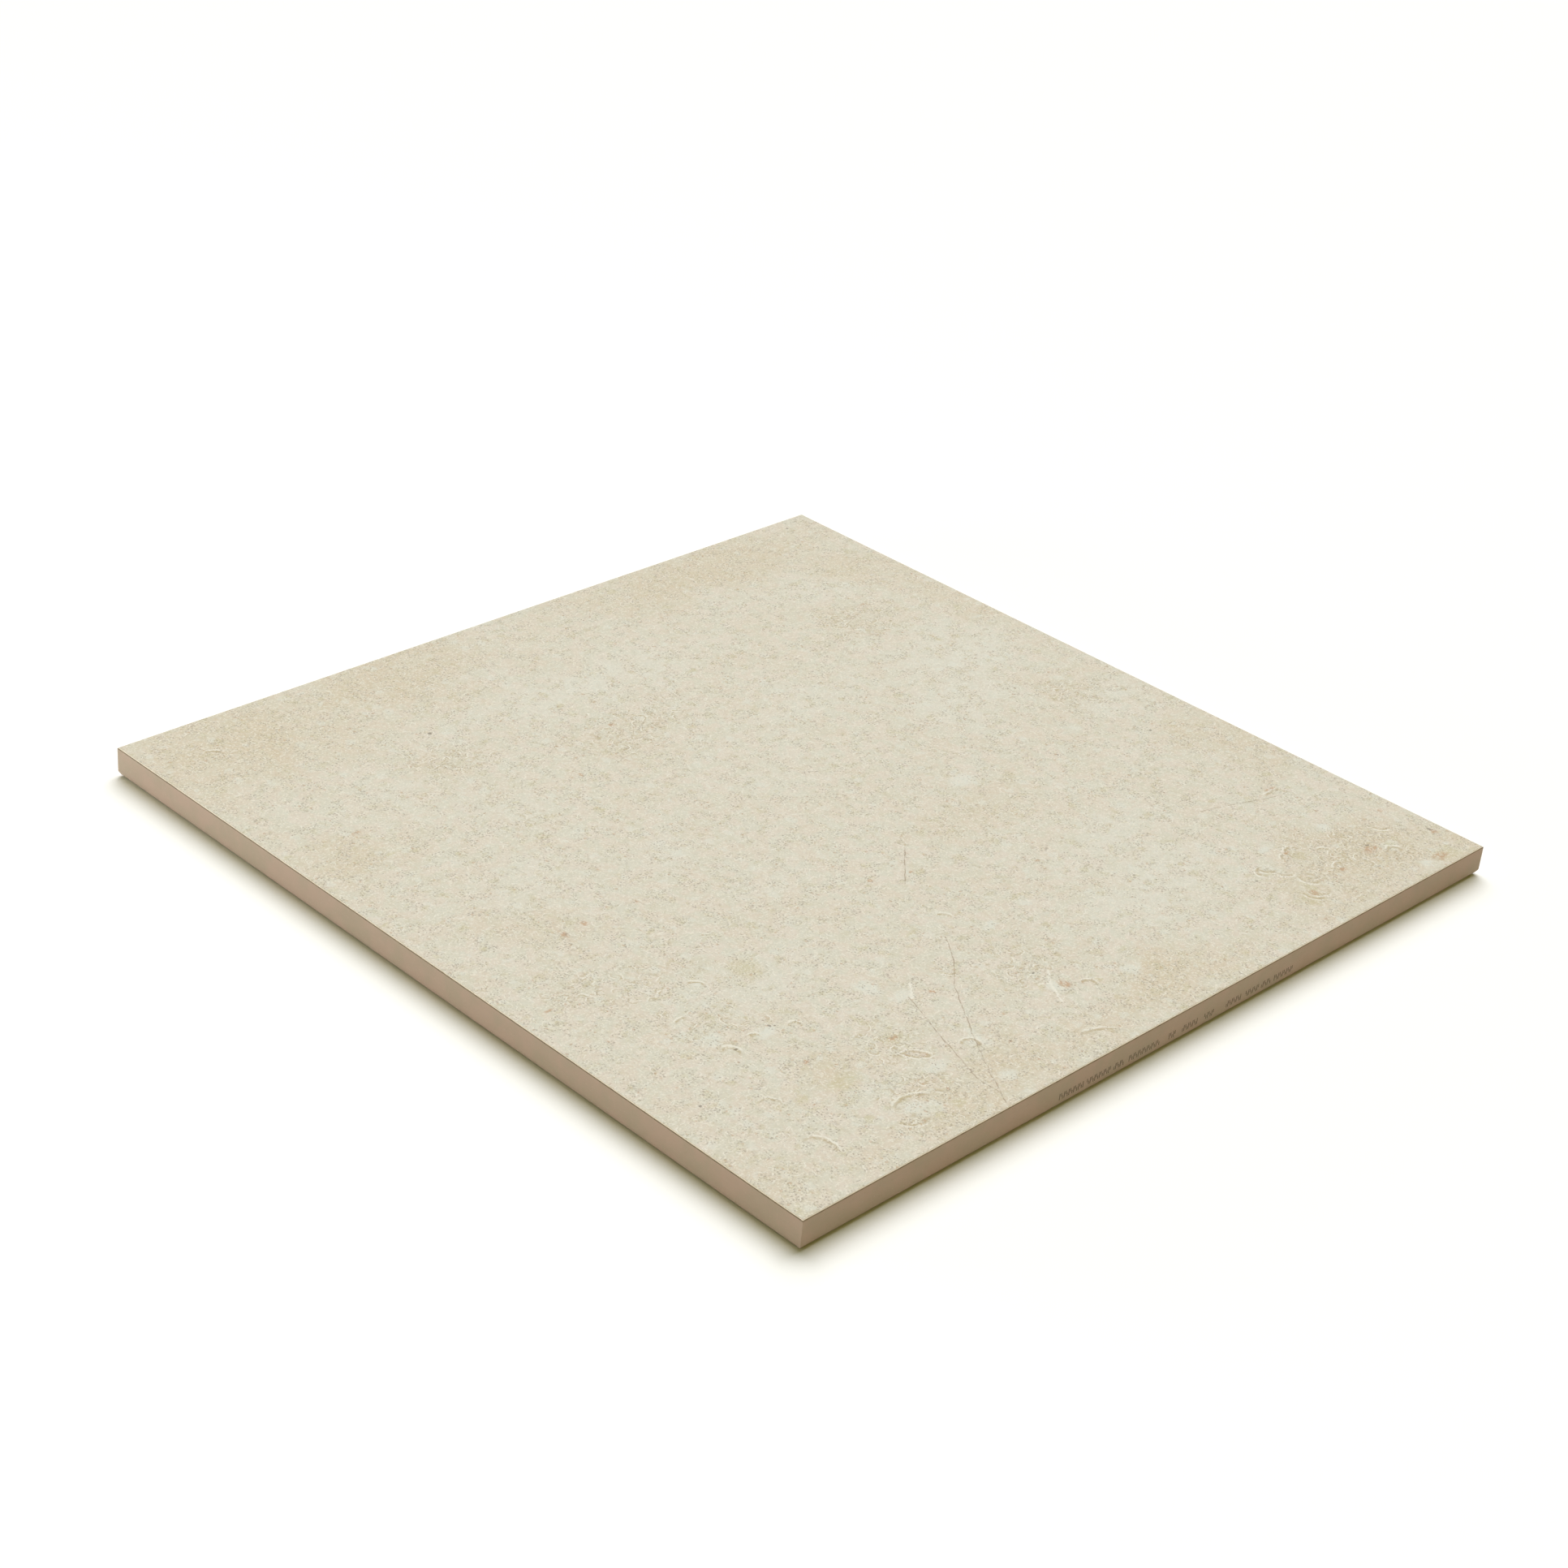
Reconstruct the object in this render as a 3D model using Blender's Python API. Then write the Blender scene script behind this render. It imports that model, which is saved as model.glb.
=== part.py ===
"""Square stone-look porcelain paver, modelled as the fired layers that it is made of.

From the surface it lies on upwards: the kiln wash on the rib crests of the back, the pressed stoneware body
with its keyed back, the engobe coat, and the printed glaze. The origin is under the middle of the paver, on
the plane it rests on, with +Z up. Lengths are in metres.
"""

import bmesh
import bpy
from mathutils import Vector

# The finished paver
SIDE = 0.600  # the ground side of the square
THICKNESS = 0.020  # from the plane it rests on to the walking face
ARRIS = 0.0008  # the 45-degree arris ground round the walking face
FOOT_INSET = 0.002  # how far the pressed bevel at the foot runs in under the side
FOOT_HEIGHT = 0.003  # how far that bevel climbs the side

# The fired layers, with the clearance that keeps each one a solid of its own
GLAZE = 0.0003
ENGOBE = 0.0003
KILN_WASH = 0.0003
LAYER_GAP = 0.0003

# The keyed back
BORDER = 0.026  # plain band between the foot's inner edge and the outermost pockets
RIB = 0.008  # crest of the ribs between pockets
POCKET_PITCH = 0.046  # wanted spacing of the pockets, adjusted so that whole pockets fill the back
POCKET_DEPTH = 0.0008
POCKET_DRAFT = 0.0004  # how far each pocket wall leans in by the pocket's roof
CUTTER_REACH = 0.001  # how far the pocket cutter stands out under the paver

# Heights worked out from the sizes above
CREST_Z = KILN_WASH + LAYER_GAP
GLAZE_Z = THICKNESS - GLAZE
ENGOBE_TOP_Z = GLAZE_Z - LAYER_GAP
ENGOBE_Z = ENGOBE_TOP_Z - ENGOBE
BODY_TOP_Z = ENGOBE_Z - LAYER_GAP


def clear_scene():
    for obj in list(bpy.data.objects):
        bpy.data.objects.remove(obj)


def principled(name, colour, roughness, metallic=0.0):
    material = bpy.data.materials.new(name)
    material.use_nodes = True
    shader = material.node_tree.nodes["Principled BSDF"]
    shader.inputs["Base Color"].default_value = (*colour, 1.0)
    shader.inputs["Roughness"].default_value = roughness
    shader.inputs["Metallic"].default_value = metallic
    return material


def half_side(height):
    """Half of the paver's side at a height above its resting plane."""
    foot = FOOT_INSET * max(0.0, 1.0 - height / FOOT_HEIGHT)
    arris = max(0.0, height - (THICKNESS - ARRIS))
    return SIDE / 2 - foot - arris


def square_ring(bm, half, height):
    corners = ((-1, -1), (1, -1), (1, 1), (-1, 1))
    return [bm.verts.new((x * half, y * half, height)) for x, y in corners]


def closed_loft(bm, rings):
    """Joins four-cornered rings, lowest first, into one closed body."""
    bm.faces.new(reversed(rings[0]))
    bm.faces.new(rings[-1])
    for lower, upper in zip(rings, rings[1:]):
        for i in range(4):
            j = (i + 1) % 4
            bm.faces.new((lower[i], lower[j], upper[j], upper[i]))


def mesh_object(name, bm):
    mesh = bpy.data.meshes.new(name)
    bm.to_mesh(mesh)
    bm.free()
    obj = bpy.data.objects.new(name, mesh)
    bpy.context.collection.objects.link(obj)
    return obj


def layer(name, low, high, material, paver):
    """One square layer of the paver between two heights, following the foot bevel and the arris."""
    bends = [z for z in (FOOT_HEIGHT, THICKNESS - ARRIS) if low < z < high]
    bm = bmesh.new()
    closed_loft(bm, [square_ring(bm, half_side(z), z - low) for z in (low, *bends, high)])
    obj = mesh_object(name, bm)
    obj.data.materials.append(material)
    obj.location.z = low
    obj.parent = paver
    return obj


def pocket_cutter(paver):
    """Every pocket of the keyed back as one drafted block, from under the paver to the pocket's roof."""
    field = 2 * (half_side(0.0) - BORDER) + RIB
    count = max(1, round(field / POCKET_PITCH))
    pitch = field / count
    mouth = (pitch - RIB) / 2
    slope = POCKET_DRAFT / POCKET_DEPTH
    low, high = -CUTTER_REACH, CREST_Z + POCKET_DEPTH
    places = [(i - (count - 1) / 2) * pitch for i in range(count)]
    bm = bmesh.new()
    for x in places:
        for y in places:
            rings = [square_ring(bm, mouth + slope * (CREST_Z - z), z) for z in (low, high)]
            closed_loft(bm, rings)
            bmesh.ops.translate(bm, verts=rings[0] + rings[1], vec=Vector((x, y, 0.0)))
    cutter = mesh_object("pocket_cutter", bm)
    cutter.parent = paver
    cutter.display_type = "WIRE"
    cutter.hide_render = True
    return cutter


def key(obj, cutter):
    """Cuts the back's pockets out of a layer."""
    cut = obj.modifiers.new("pockets", "BOOLEAN")
    cut.operation = "DIFFERENCE"
    cut.solver = "EXACT"
    cut.object = cutter


def build():
    clear_scene()
    paver = bpy.data.objects.new("paver", None)
    bpy.context.collection.objects.link(paver)
    stoneware = principled("stoneware", (0.49, 0.37, 0.27), 0.75)
    engobe = principled("engobe", (0.72, 0.66, 0.55), 0.7)
    glaze = principled("printed_glaze", (0.70, 0.65, 0.53), 0.55)
    wash = principled("kiln_wash", (0.80, 0.78, 0.73), 0.95)

    back_coat = layer("kiln_wash", 0.0, KILN_WASH, wash, paver)
    body = layer("stoneware_body", CREST_Z, BODY_TOP_Z, stoneware, paver)
    layer("engobe_coat", ENGOBE_Z, ENGOBE_TOP_Z, engobe, paver)
    layer("printed_glaze", GLAZE_Z, THICKNESS, glaze, paver)

    cutter = pocket_cutter(paver)
    key(back_coat, cutter)
    key(body, cutter)


build()
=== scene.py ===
# %% [markdown]
# # A stone-look porcelain paver
#
# This lesson dresses a square porcelain stoneware paver. The real thing is pressed from pinkish clay,
# sprayed with a light slip, printed with a beige limestone design, glazed matt and fired; then its sides
# are ground to size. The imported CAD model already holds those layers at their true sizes. Here each one
# gets a finer mesh and a finish worked out from noise and simple shapes, with no image file anywhere.
#
# Everything is in metres in Blender. Sizes that are easier to think of in millimetres are multiplied by
# MM.

# %% Load the frame
import math

import bmesh
import bpy
import numpy as np
from mathutils import Matrix, Vector, noise


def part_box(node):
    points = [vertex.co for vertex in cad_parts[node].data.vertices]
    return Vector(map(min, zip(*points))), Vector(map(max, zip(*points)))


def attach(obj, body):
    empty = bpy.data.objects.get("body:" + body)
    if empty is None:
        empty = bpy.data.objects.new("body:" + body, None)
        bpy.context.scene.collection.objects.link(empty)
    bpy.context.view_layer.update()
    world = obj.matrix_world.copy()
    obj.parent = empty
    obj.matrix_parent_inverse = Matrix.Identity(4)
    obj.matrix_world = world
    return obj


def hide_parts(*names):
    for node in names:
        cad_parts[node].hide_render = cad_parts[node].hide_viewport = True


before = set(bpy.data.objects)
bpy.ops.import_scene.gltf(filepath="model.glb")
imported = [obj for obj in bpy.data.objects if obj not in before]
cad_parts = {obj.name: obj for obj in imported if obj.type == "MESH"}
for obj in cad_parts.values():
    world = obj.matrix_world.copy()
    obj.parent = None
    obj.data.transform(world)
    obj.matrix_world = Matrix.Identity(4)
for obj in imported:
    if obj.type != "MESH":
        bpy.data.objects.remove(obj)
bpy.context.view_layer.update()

# %% [markdown]
# ## Sizes from the frame
#
# The pieces below are tied to the CAD model by reading its boxes, so a paver of another size would still
# be dressed correctly. CAD keeps a small gap between the fired layers. On the real paver they are fused,
# so each seam is placed in the middle of its gap and the finer layers meet there.

# %% Measure the layers
MM = 0.001
glaze_low, glaze_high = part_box("printed_glaze")
engobe_low, engobe_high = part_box("engobe_coat")
body_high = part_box("stoneware_body")[1]
wash_low, wash_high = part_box("kiln_wash")

HALF = body_high.x
TOP = glaze_high.z
FLOOR = wash_low.z
GLAZE_SEAM = (glaze_low.z + engobe_high.z) / 2
ENGOBE_SEAM = (engobe_low.z + body_high.z) / 2
CREST = wash_high.z
print(f"side {2 * HALF / MM:.0f} mm, thickness {(TOP - FLOOR) / MM:.1f} mm")

# %% [markdown]
# ## The camera
#
# A long lens stands well back, so that a flat slab keeps its shape. The camera is placed by where it
# stands, the spot on the face that it looks at, and a small roll, because the horizon leans a little. The
# lens is shifted sideways by a few percent of the frame: that slides the view without turning the camera.

# %% Place the camera
CAMERA_PLACE = Vector((-1.1946, -1.0835, 0.9348))
CAMERA_AIM = Vector((-0.0370, 0.0476, TOP))
CAMERA_ROLL = math.radians(4.474)
LENS_MM = 68.72
SENSOR_MM = 36.0
SHIFT_X = 0.0497

lens = bpy.data.cameras.new("camera")
lens.lens = LENS_MM
lens.sensor_width = SENSOR_MM
lens.shift_x = SHIFT_X
lens.clip_end = 50.0
camera = bpy.data.objects.new("camera", lens)
bpy.context.scene.collection.objects.link(camera)
look = (CAMERA_AIM - CAMERA_PLACE).to_track_quat("-Z", "Y").to_matrix().to_4x4()
camera.matrix_world = Matrix.Translation(CAMERA_PLACE) @ look @ Matrix.Rotation(CAMERA_ROLL, 4, "Z")
bpy.context.scene.camera = camera
print(f"camera {(CAMERA_PLACE - CAMERA_AIM).length:.2f} m from the spot it looks at")

# %% [markdown]
# ## A short hand for shader nodes
#
# Blender's shader editor is a board of boxes joined by wires. In code each box takes several lines, so
# these helpers make one box per call and return the socket to wire on from. A value can be a plain number
# or another box's socket, and the helper does the right thing with either.

# %% Node helpers
def feed(tree, socket, value):
    if isinstance(value, bpy.types.NodeSocket):
        tree.links.new(value, socket)
    else:
        socket.default_value = value


def add(tree, kind, inputs=(), **settings):
    """One node, with its settings and its inputs, given as (name or number, value) pairs."""
    node = tree.nodes.new(kind)
    for name, value in settings.items():
        setattr(node, name, value)
    for name, value in inputs:
        feed(tree, node.inputs[name], value)
    return node


def calc(tree, operation, *values):
    return add(tree, "ShaderNodeMath", list(enumerate(values)), operation=operation).outputs[0]


def vector(tree, operation, *values):
    node = add(tree, "ShaderNodeVectorMath", list(enumerate(values)), operation=operation)
    return node.outputs["Value" if operation in ("LENGTH", "DOT_PRODUCT") else "Vector"]


def scaled(tree, value, factor):
    inputs = [("Vector", value), ("Scale", factor)]
    return add(tree, "ShaderNodeVectorMath", inputs, operation="SCALE").outputs["Vector"]


def fade(tree, value, start, end, low=0.0, high=1.0):
    """Goes smoothly from low to high as value goes from start to end."""
    inputs = list(enumerate((value, start, end, low, high)))
    return add(tree, "ShaderNodeMapRange", inputs, interpolation_type="SMOOTHSTEP", clamp=False).outputs[0]


def mix(tree, factor, first, second):
    node = add(tree, "ShaderNodeMix", data_type="RGBA")
    colours = [socket for socket in node.inputs if socket.type == "RGBA"]
    for socket, value in zip((node.inputs[0], *colours), (factor, first, second)):
        feed(tree, socket, value)
    return next(socket for socket in node.outputs if socket.type == "RGBA")


def join(tree, masks):
    """Several masks as one. Each is joined as soon as it is made, so that few of them wait at a time."""
    total = 0.0
    for mask in masks:
        total = calc(tree, "MAXIMUM", total, mask)
    return total


# %% [markdown]
# A node group is a board folded into one box with its own named sockets. `new_group` makes the empty box,
# and `place` puts a copy of it into a material or into another group.

# %% Group helpers
def new_group(name, outputs=("Mask",), **inputs):
    """An empty group. It takes Vector, the place to draw at, and these numbers and (x, y, z) values."""
    tree = bpy.data.node_groups.new(name, "ShaderNodeTree")
    for label, value in {"Vector": (0, 0, 0), **inputs}.items():
        kind = "NodeSocketVector" if isinstance(value, tuple) else "NodeSocketFloat"
        socket = tree.interface.new_socket(label.replace("_", " "), in_out="INPUT", socket_type=kind)
        socket.default_value = value
    for label in outputs:
        tree.interface.new_socket(label, in_out="OUTPUT", socket_type="NodeSocketFloat")
    given = tree.nodes.new("NodeGroupInput").outputs
    result = tree.nodes.new("NodeGroupOutput").inputs
    return tree, given, result


def place(tree, group, **inputs):
    """A copy of a group in a tree. It gives the group's one output, or all of them where there are more."""
    node = tree.nodes.new("ShaderNodeGroup")
    node.node_tree = group
    for name, value in inputs.items():
        feed(tree, node.inputs[name.replace("_", " ")], value)
    return node.outputs[0] if len(node.outputs) == 1 else node.outputs


# %% [markdown]
# ## Grain
#
# Fired clay, slip and limestone all vary softly at many scales at once. One fractal noise does that. The
# group takes the grain's size in millimetres and how sharply light and dark part, and gives a mask from 0
# to 1.

# %% Grain group
grain, given, result = new_group("grain", Size=5.0, Detail=4.0, Rough=0.55, Spread=0.15)
scale = calc(grain, "DIVIDE", 1.0, given["Size"])
inputs = [("Vector", given["Vector"]), ("Scale", scale), ("Detail", given["Detail"])]
inputs.append(("Roughness", given["Rough"]))
cloud = add(grain, "ShaderNodeTexNoise", inputs).outputs[0]
low = calc(grain, "SUBTRACT", 0.5, given["Spread"])
high = calc(grain, "ADD", 0.5, given["Spread"])
grain.links.new(fade(grain, cloud, low, high), result["Mask"])
print("group:", grain.name)

# %% [markdown]
# ## Speckle
#
# Tiny mineral dots are scattered with a Voronoi pattern: it puts one point in each cell and tells how far
# away the nearest one is. A dot is drawn where that distance is small. Each cell also has a random colour,
# and its red part decides whether the cell shows a dot at all, so that the dots don't look like a grid.

# %% Speckle groups
def speckle_group(name, dimensions):
    tree, given, result = new_group(name, Spacing=2.0, Size=0.4, Share=0.5)
    inputs = [("Vector", given["Vector"]), ("Scale", calc(tree, "DIVIDE", 1.0, given["Spacing"]))]
    cells = add(tree, "ShaderNodeTexVoronoi", inputs, voronoi_dimensions=dimensions).outputs
    draw = add(tree, "ShaderNodeSeparateColor", [("Color", cells["Color"])]).outputs
    reach = calc(tree, "DIVIDE", given["Size"], given["Spacing"])
    reach = calc(tree, "MULTIPLY", reach, fade(tree, draw["Green"], 0.0, 1.0, 0.6, 1.4))
    dot = fade(tree, cells["Distance"], reach, calc(tree, "MULTIPLY", reach, 0.55))
    shown = calc(tree, "LESS_THAN", draw["Red"], given["Share"])
    tree.links.new(calc(tree, "MULTIPLY", dot, shown), result["Mask"])
    return tree


face_speckle = speckle_group("face_speckle", "2D")
body_speckle = speckle_group("body_speckle", "3D")
print("groups:", face_speckle.name, body_speckle.name)

# %% [markdown]
# ## Threads
#
# A contour line on a map joins places of one height, and it wanders without ever ending. Drawing where a
# noise is close to its middle value gives such lines, and a second noise breaks them into short curled
# threads. They make the fine edges between grains.

# %% Threads group
threads, given, result = new_group("threads", Size=3.0, Width=0.03, Broken=0.5)
scale = calc(threads, "DIVIDE", 1.0, given["Size"])
inputs = [("Vector", given["Vector"]), ("Scale", scale), ("Detail", 1.5)]
cloud = add(threads, "ShaderNodeTexNoise", inputs).outputs[0]
off = calc(threads, "ABSOLUTE", calc(threads, "SUBTRACT", cloud, 0.5))
away = vector(threads, "ADD", given["Vector"], (57, 31, 0))
gaps = place(threads, grain, Vector=away, Size=given["Size"], Detail=1.0, Spread=0.08)
kept = fade(threads, gaps, given["Broken"], calc(threads, "ADD", given["Broken"], 0.15))
line = fade(threads, off, given["Width"], 0.0)
threads.links.new(calc(threads, "MULTIPLY", line, kept), result["Mask"])
print("group:", threads.name)

# %% [markdown]
# ## A soft patch
#
# Limestone has clouds of warmer and paler stone. A patch is a stretched circle that fades out towards its
# rim: the vector from its centre is divided by its reach, and the length of the result is 1 on the rim.
# Small hard patches also make spots.

# %% Soft patch group
patch, given, result = new_group("soft_patch", Centre=(0, 0, 0), Reach=(50, 50, 1000), Core=0.0)
away = vector(patch, "DIVIDE", vector(patch, "SUBTRACT", given["Vector"], given["Centre"]), given["Reach"])
patch.links.new(fade(patch, vector(patch, "LENGTH", away), 1.0, given["Core"]), result["Mask"])
print("group:", patch.name)

# %% [markdown]
# ## A shell cut through
#
# Shells in a cut limestone show as short curved lines: a pale rim, often with darker stone filling the
# inner side. `arc_mark` draws one around the origin: the part of a circle that lies near its top. The next
# group moves and turns it into place, and the one after scatters many small ones, each in its own Voronoi
# cell with its own random turn.

# %% Arc group
ARC_PARTS = ("Rim", "Hollow")
arc_mark, given, result = new_group("arc_mark", ARC_PARTS, Radius=8.0, Half_Length=6.0, Width=0.5)
spot = add(arc_mark, "ShaderNodeSeparateXYZ", [("Vector", given["Vector"])]).outputs
lowered = calc(arc_mark, "ADD", spot["Y"], given["Radius"])
flat = add(arc_mark, "ShaderNodeCombineXYZ", [("X", spot["X"]), ("Y", lowered)]).outputs[0]
out = calc(arc_mark, "SUBTRACT", vector(arc_mark, "LENGTH", flat), given["Radius"])
along = calc(arc_mark, "DIVIDE", calc(arc_mark, "ABSOLUTE", spot["X"]), given["Half Length"])
near_top = calc(arc_mark, "GREATER_THAN", lowered, 0.0)
ends = calc(arc_mark, "MULTIPLY", fade(arc_mark, along, 1.0, 0.6), near_top)
rim = fade(arc_mark, calc(arc_mark, "ABSOLUTE", out), given["Width"], 0.0)
inside = calc(arc_mark, "ADD", out, calc(arc_mark, "MULTIPLY", given["Width"], 1.6))
inside = calc(arc_mark, "ABSOLUTE", inside)
hollow = fade(arc_mark, inside, calc(arc_mark, "MULTIPLY", given["Width"], 1.5), 0.0)
arc_mark.links.new(calc(arc_mark, "MULTIPLY", rim, ends), result["Rim"])
arc_mark.links.new(calc(arc_mark, "MULTIPLY", hollow, ends), result["Hollow"])
print("group:", arc_mark.name)

# %% [markdown]
# A large shell has a place and a turn of its own. The place on the face is moved so that the shell's
# centre becomes the origin, and turned back by the shell's angle; the arc is then drawn there as always.

# %% Placed shell group
def spun(tree, value, angle):
    inputs = [("Vector", value), ("Angle", angle)]
    return add(tree, "ShaderNodeVectorRotate", inputs, rotation_type="Z_AXIS").outputs[0]


shell, given, result = new_group(
    "shell", ARC_PARTS, Centre=(0, 0, 0), Turn=0.0, Radius=8.0, Half_Length=6.0, Width=0.5
)
away = vector(shell, "SUBTRACT", given["Vector"], given["Centre"])
back_turn = calc(shell, "MULTIPLY", given["Turn"], -1.0)
turned = spun(shell, away, back_turn)
drawn = place(shell, arc_mark, Vector=turned, Radius=given["Radius"],
              Half_Length=given["Half Length"], Width=given["Width"])
for part in ARC_PARTS:
    shell.links.new(drawn[part], result[part])
print("group:", shell.name)

# %% [markdown]
# The small fragments are too many to list. A Voronoi pattern gives each cell a random colour, and its
# three parts serve as three dice: the red one turns the arc, the blue one sets its length, and the green
# one decides whether the cell has an arc at all.

# %% Scattered shell flecks group
flecks, given, result = new_group(
    "shell_flecks", ARC_PARTS, Spacing=12.0, Radius=3.0, Half_Length=2.0, Width=0.4, Share=0.5
)
scale = calc(flecks, "DIVIDE", 1.0, given["Spacing"])
inputs = [("Vector", given["Vector"]), ("Scale", scale)]
cells = add(flecks, "ShaderNodeTexVoronoi", inputs, voronoi_dimensions="2D").outputs
draw = add(flecks, "ShaderNodeSeparateColor", [("Color", cells["Color"])]).outputs
away = vector(flecks, "SUBTRACT", given["Vector"], cells["Position"])
full_turn = calc(flecks, "MULTIPLY", draw["Red"], 2 * math.pi)
turned = spun(flecks, away, full_turn)
length = calc(flecks, "MULTIPLY", given["Half Length"], fade(flecks, draw["Blue"], 0.0, 1.0, 0.5, 1.3))
drawn = place(flecks, arc_mark, Vector=turned, Radius=given["Radius"], Half_Length=length,
              Width=given["Width"])
shown = calc(flecks, "LESS_THAN", draw["Green"], given["Share"])
for part in ARC_PARTS:
    flecks.links.new(calc(flecks, "MULTIPLY", drawn[part], shown), result[part])
print("group:", flecks.name)

# %% [markdown]
# ## A hairline
#
# Old cracks in the stone show as thin brown lines. A line piece between two points is drawn where the
# nearest point on it is close: the dot product tells how far along the piece that point lies, held between
# its two ends.

# %% Hairline group
hairline, given, result = new_group("hairline", From=(0, 0, 0), To=(10, 0, 0), Width=0.3)
run = vector(hairline, "SUBTRACT", given["To"], given["From"])
away = vector(hairline, "SUBTRACT", given["Vector"], given["From"])
dots = (vector(hairline, "DOT_PRODUCT", away, run), vector(hairline, "DOT_PRODUCT", run, run))
share = calc(hairline, "DIVIDE", *dots)
share = calc(hairline, "MAXIMUM", calc(hairline, "MINIMUM", share, 1.0), 0.0)
miss = vector(hairline, "LENGTH", vector(hairline, "SUBTRACT", away, scaled(hairline, run, share)))
hairline.links.new(fade(hairline, miss, given["Width"], 0.0), result["Mask"])
print("group:", hairline.name)

# %% [markdown]
# ## Mixing colours
#
# Colours are easiest to judge as they look on a screen, from 0 to 255. Blender works with linear light, so
# `paint` converts them. The studio lamps light a level white sheet a little past full white, which clears
# the background. The paints are mixed darker by the same amount, so that they come out as named.

# %% Paints
STUDIO_GAIN = (1.352, 1.352, 1.302)


def linear(value):
    value = value / 255
    return value / 12.92 if value <= 0.04045 else ((value + 0.055) / 1.055) ** 2.4


def paint(*screen):
    return (*(linear(value) / gain for value, gain in zip(screen, STUDIO_GAIN)), 1.0)


PINKISH = paint(223, 213, 194)
GREENISH = paint(217, 214, 194)
TAN = paint(212, 196, 164)
OLIVE = paint(203, 194, 154)
PALE = paint(222, 220, 203)
CHIP_WHITE = paint(226, 227, 212)
SHELL_WHITE = paint(240, 236, 219)
SHELL_FILL = paint(190, 174, 138)
DULL = paint(194, 187, 168)
BRIGHT = paint(237, 231, 210)
BROWN = paint(163, 152, 133)
RUST = paint(194, 156, 118)
CRACK = paint(156, 136, 108)
PIT = paint(96, 84, 66)
# The arris colour is partly the cream under the print and partly a painted highlight. It skips the studio
# gain.
ARRIS_CREAM_AND_HIGHLIGHT = (0.86, 0.745, 0.61, 1.0)
print("the pinkish ground as linear light:", [round(value, 3) for value in PINKISH[:3]])


def new_material(name):
    """A material with one Principled BSDF, and the place on the piece in millimetres for patterns."""
    material = bpy.data.materials.new(name)
    material.use_nodes = True
    tree = material.node_tree
    shader = tree.nodes["Principled BSDF"]
    place_on_piece = add(tree, "ShaderNodeTexCoord").outputs["Object"]
    return material, tree, shader, scaled(tree, place_on_piece, 1 / MM)


def surface(tree, shader, colour, rough, relief=None):
    """Wires the colour, the relief (height, strength, depth in mm) and the roughness (mask, low, high)."""
    tree.links.new(colour, shader.inputs["Base Color"])
    if relief:
        height, strength, depth = relief
        inputs = [("Strength", strength), ("Distance", depth * MM), ("Height", height)]
        bump = add(tree, "ShaderNodeBump", inputs)
        tree.links.new(bump.outputs[0], shader.inputs["Normal"])
    mask, low, high = rough
    tree.links.new(fade(tree, mask, 0.0, 1.0, low, high), shader.inputs["Roughness"])


# %% [markdown]
# ## The printed limestone
#
# The face is printed from one design, so its marks have places of their own. They are listed in
# millimetres from the middle of the face: +X runs along the front side to the right, +Y along the left
# side to the back. The clouds come first. Each is a place, a reach and a strength. Warm ones are tan, pale
# ones are nearly white, and busy ones are crowded with shell. The warm and busy clouds also carry more
# speckle, as dirtier layers of the stone do.

# %% Clouds on the face
WARM_CLOUDS = [
    ((-240, 262), (150, 95), 1.0), ((-110, 272), (140, 60), 1.0), ((170, 272), (190, 55), 1.0),
    ((-162, 157), (45, 35), 0.4), ((-263, 112), (60, 45), 0.9), ((-42, 118), (80, 34), 0.25),
    ((-230, -10), (50, 55), 0.5), ((207, 150), (60, 36), 0.3), ((248, -7), (50, 38), 0.35),
    ((75, -75), (85, 40), 0.5), ((285, -105), (55, 60), 0.7), ((-198, -217), (30, 26), 0.7),
    ((225, -262), (120, 60), 1.0), ((296, -288), (40, 34), 1.0), ((-290, -285), (40, 60), 0.6),
    ((20, -278), (90, 36), 1.0), ((-130, -280), (180, 34), 0.8), ((290, 150), (30, 130), 0.6),
    ((272, -150), (40, 30), 0.6), ((270, 215), (60, 60), 0.8), ((150, 262), (50, 40), 0.5),
]
BUSY_CLOUDS = [
    ((-22, 132), (75, 36), 1.0), ((-146, 165), (50, 32), 0.7), ((201, 151), (55, 28), 0.7),
    ((245, -11), (34, 36), 0.9), ((225, -255), (80, 46), 1.0), ((-216, -99), (36, 42), 0.8),
    ((-151, -224), (48, 38), 1.0), ((-177, -264), (44, 28), 0.9), ((-217, -149), (38, 32), 0.8),
    ((-248, -75), (34, 42), 0.6), ((-39, -210), (50, 40), 0.7), ((-158, 84), (34, 30), 0.5),
]
PALE_CLOUDS = [
    ((-10, 190), (140, 38), 0.9), ((225, 75), (80, 55), 1.0), ((178, 30), (75, 48), 1.0),
    ((206, 205), (50, 30), 0.7), ((-115, 7), (32, 24), 0.8), ((-78, -57), (30, 22), 0.8),
    ((-205, 147), (35, 30), 0.6), ((-200, 25), (70, 40), 0.6), ((-170, -130), (75, 40), 0.7),
    ((95, -200), (95, 42), 1.0), ((270, -28), (50, 34), 1.0), ((120, -145), (70, 30), 0.8),
    ((-150, 100), (40, 35), 0.7), ((90, 85), (90, 34), 0.7), ((0, 30), (60, 30), 0.4),
]


def clouds(tree, where, rows):
    """All the clouds of one kind as one mask."""

    def each():
        for (x, y), (reach_x, reach_y), strength in rows:
            one = place(tree, patch, Vector=where, Centre=(x, y, 0), Reach=(reach_x, reach_y, 1000))
            yield calc(tree, "MULTIPLY", one, strength)

    return join(tree, each())


# %% [markdown]
# The larger shells and cracks follow. A shell's turn is in degrees: 0 bulges to the back, 90 to the left.
# Spots are small patches of one colour: rusty or dark grains, and larger tan or pale fragments.

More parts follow.
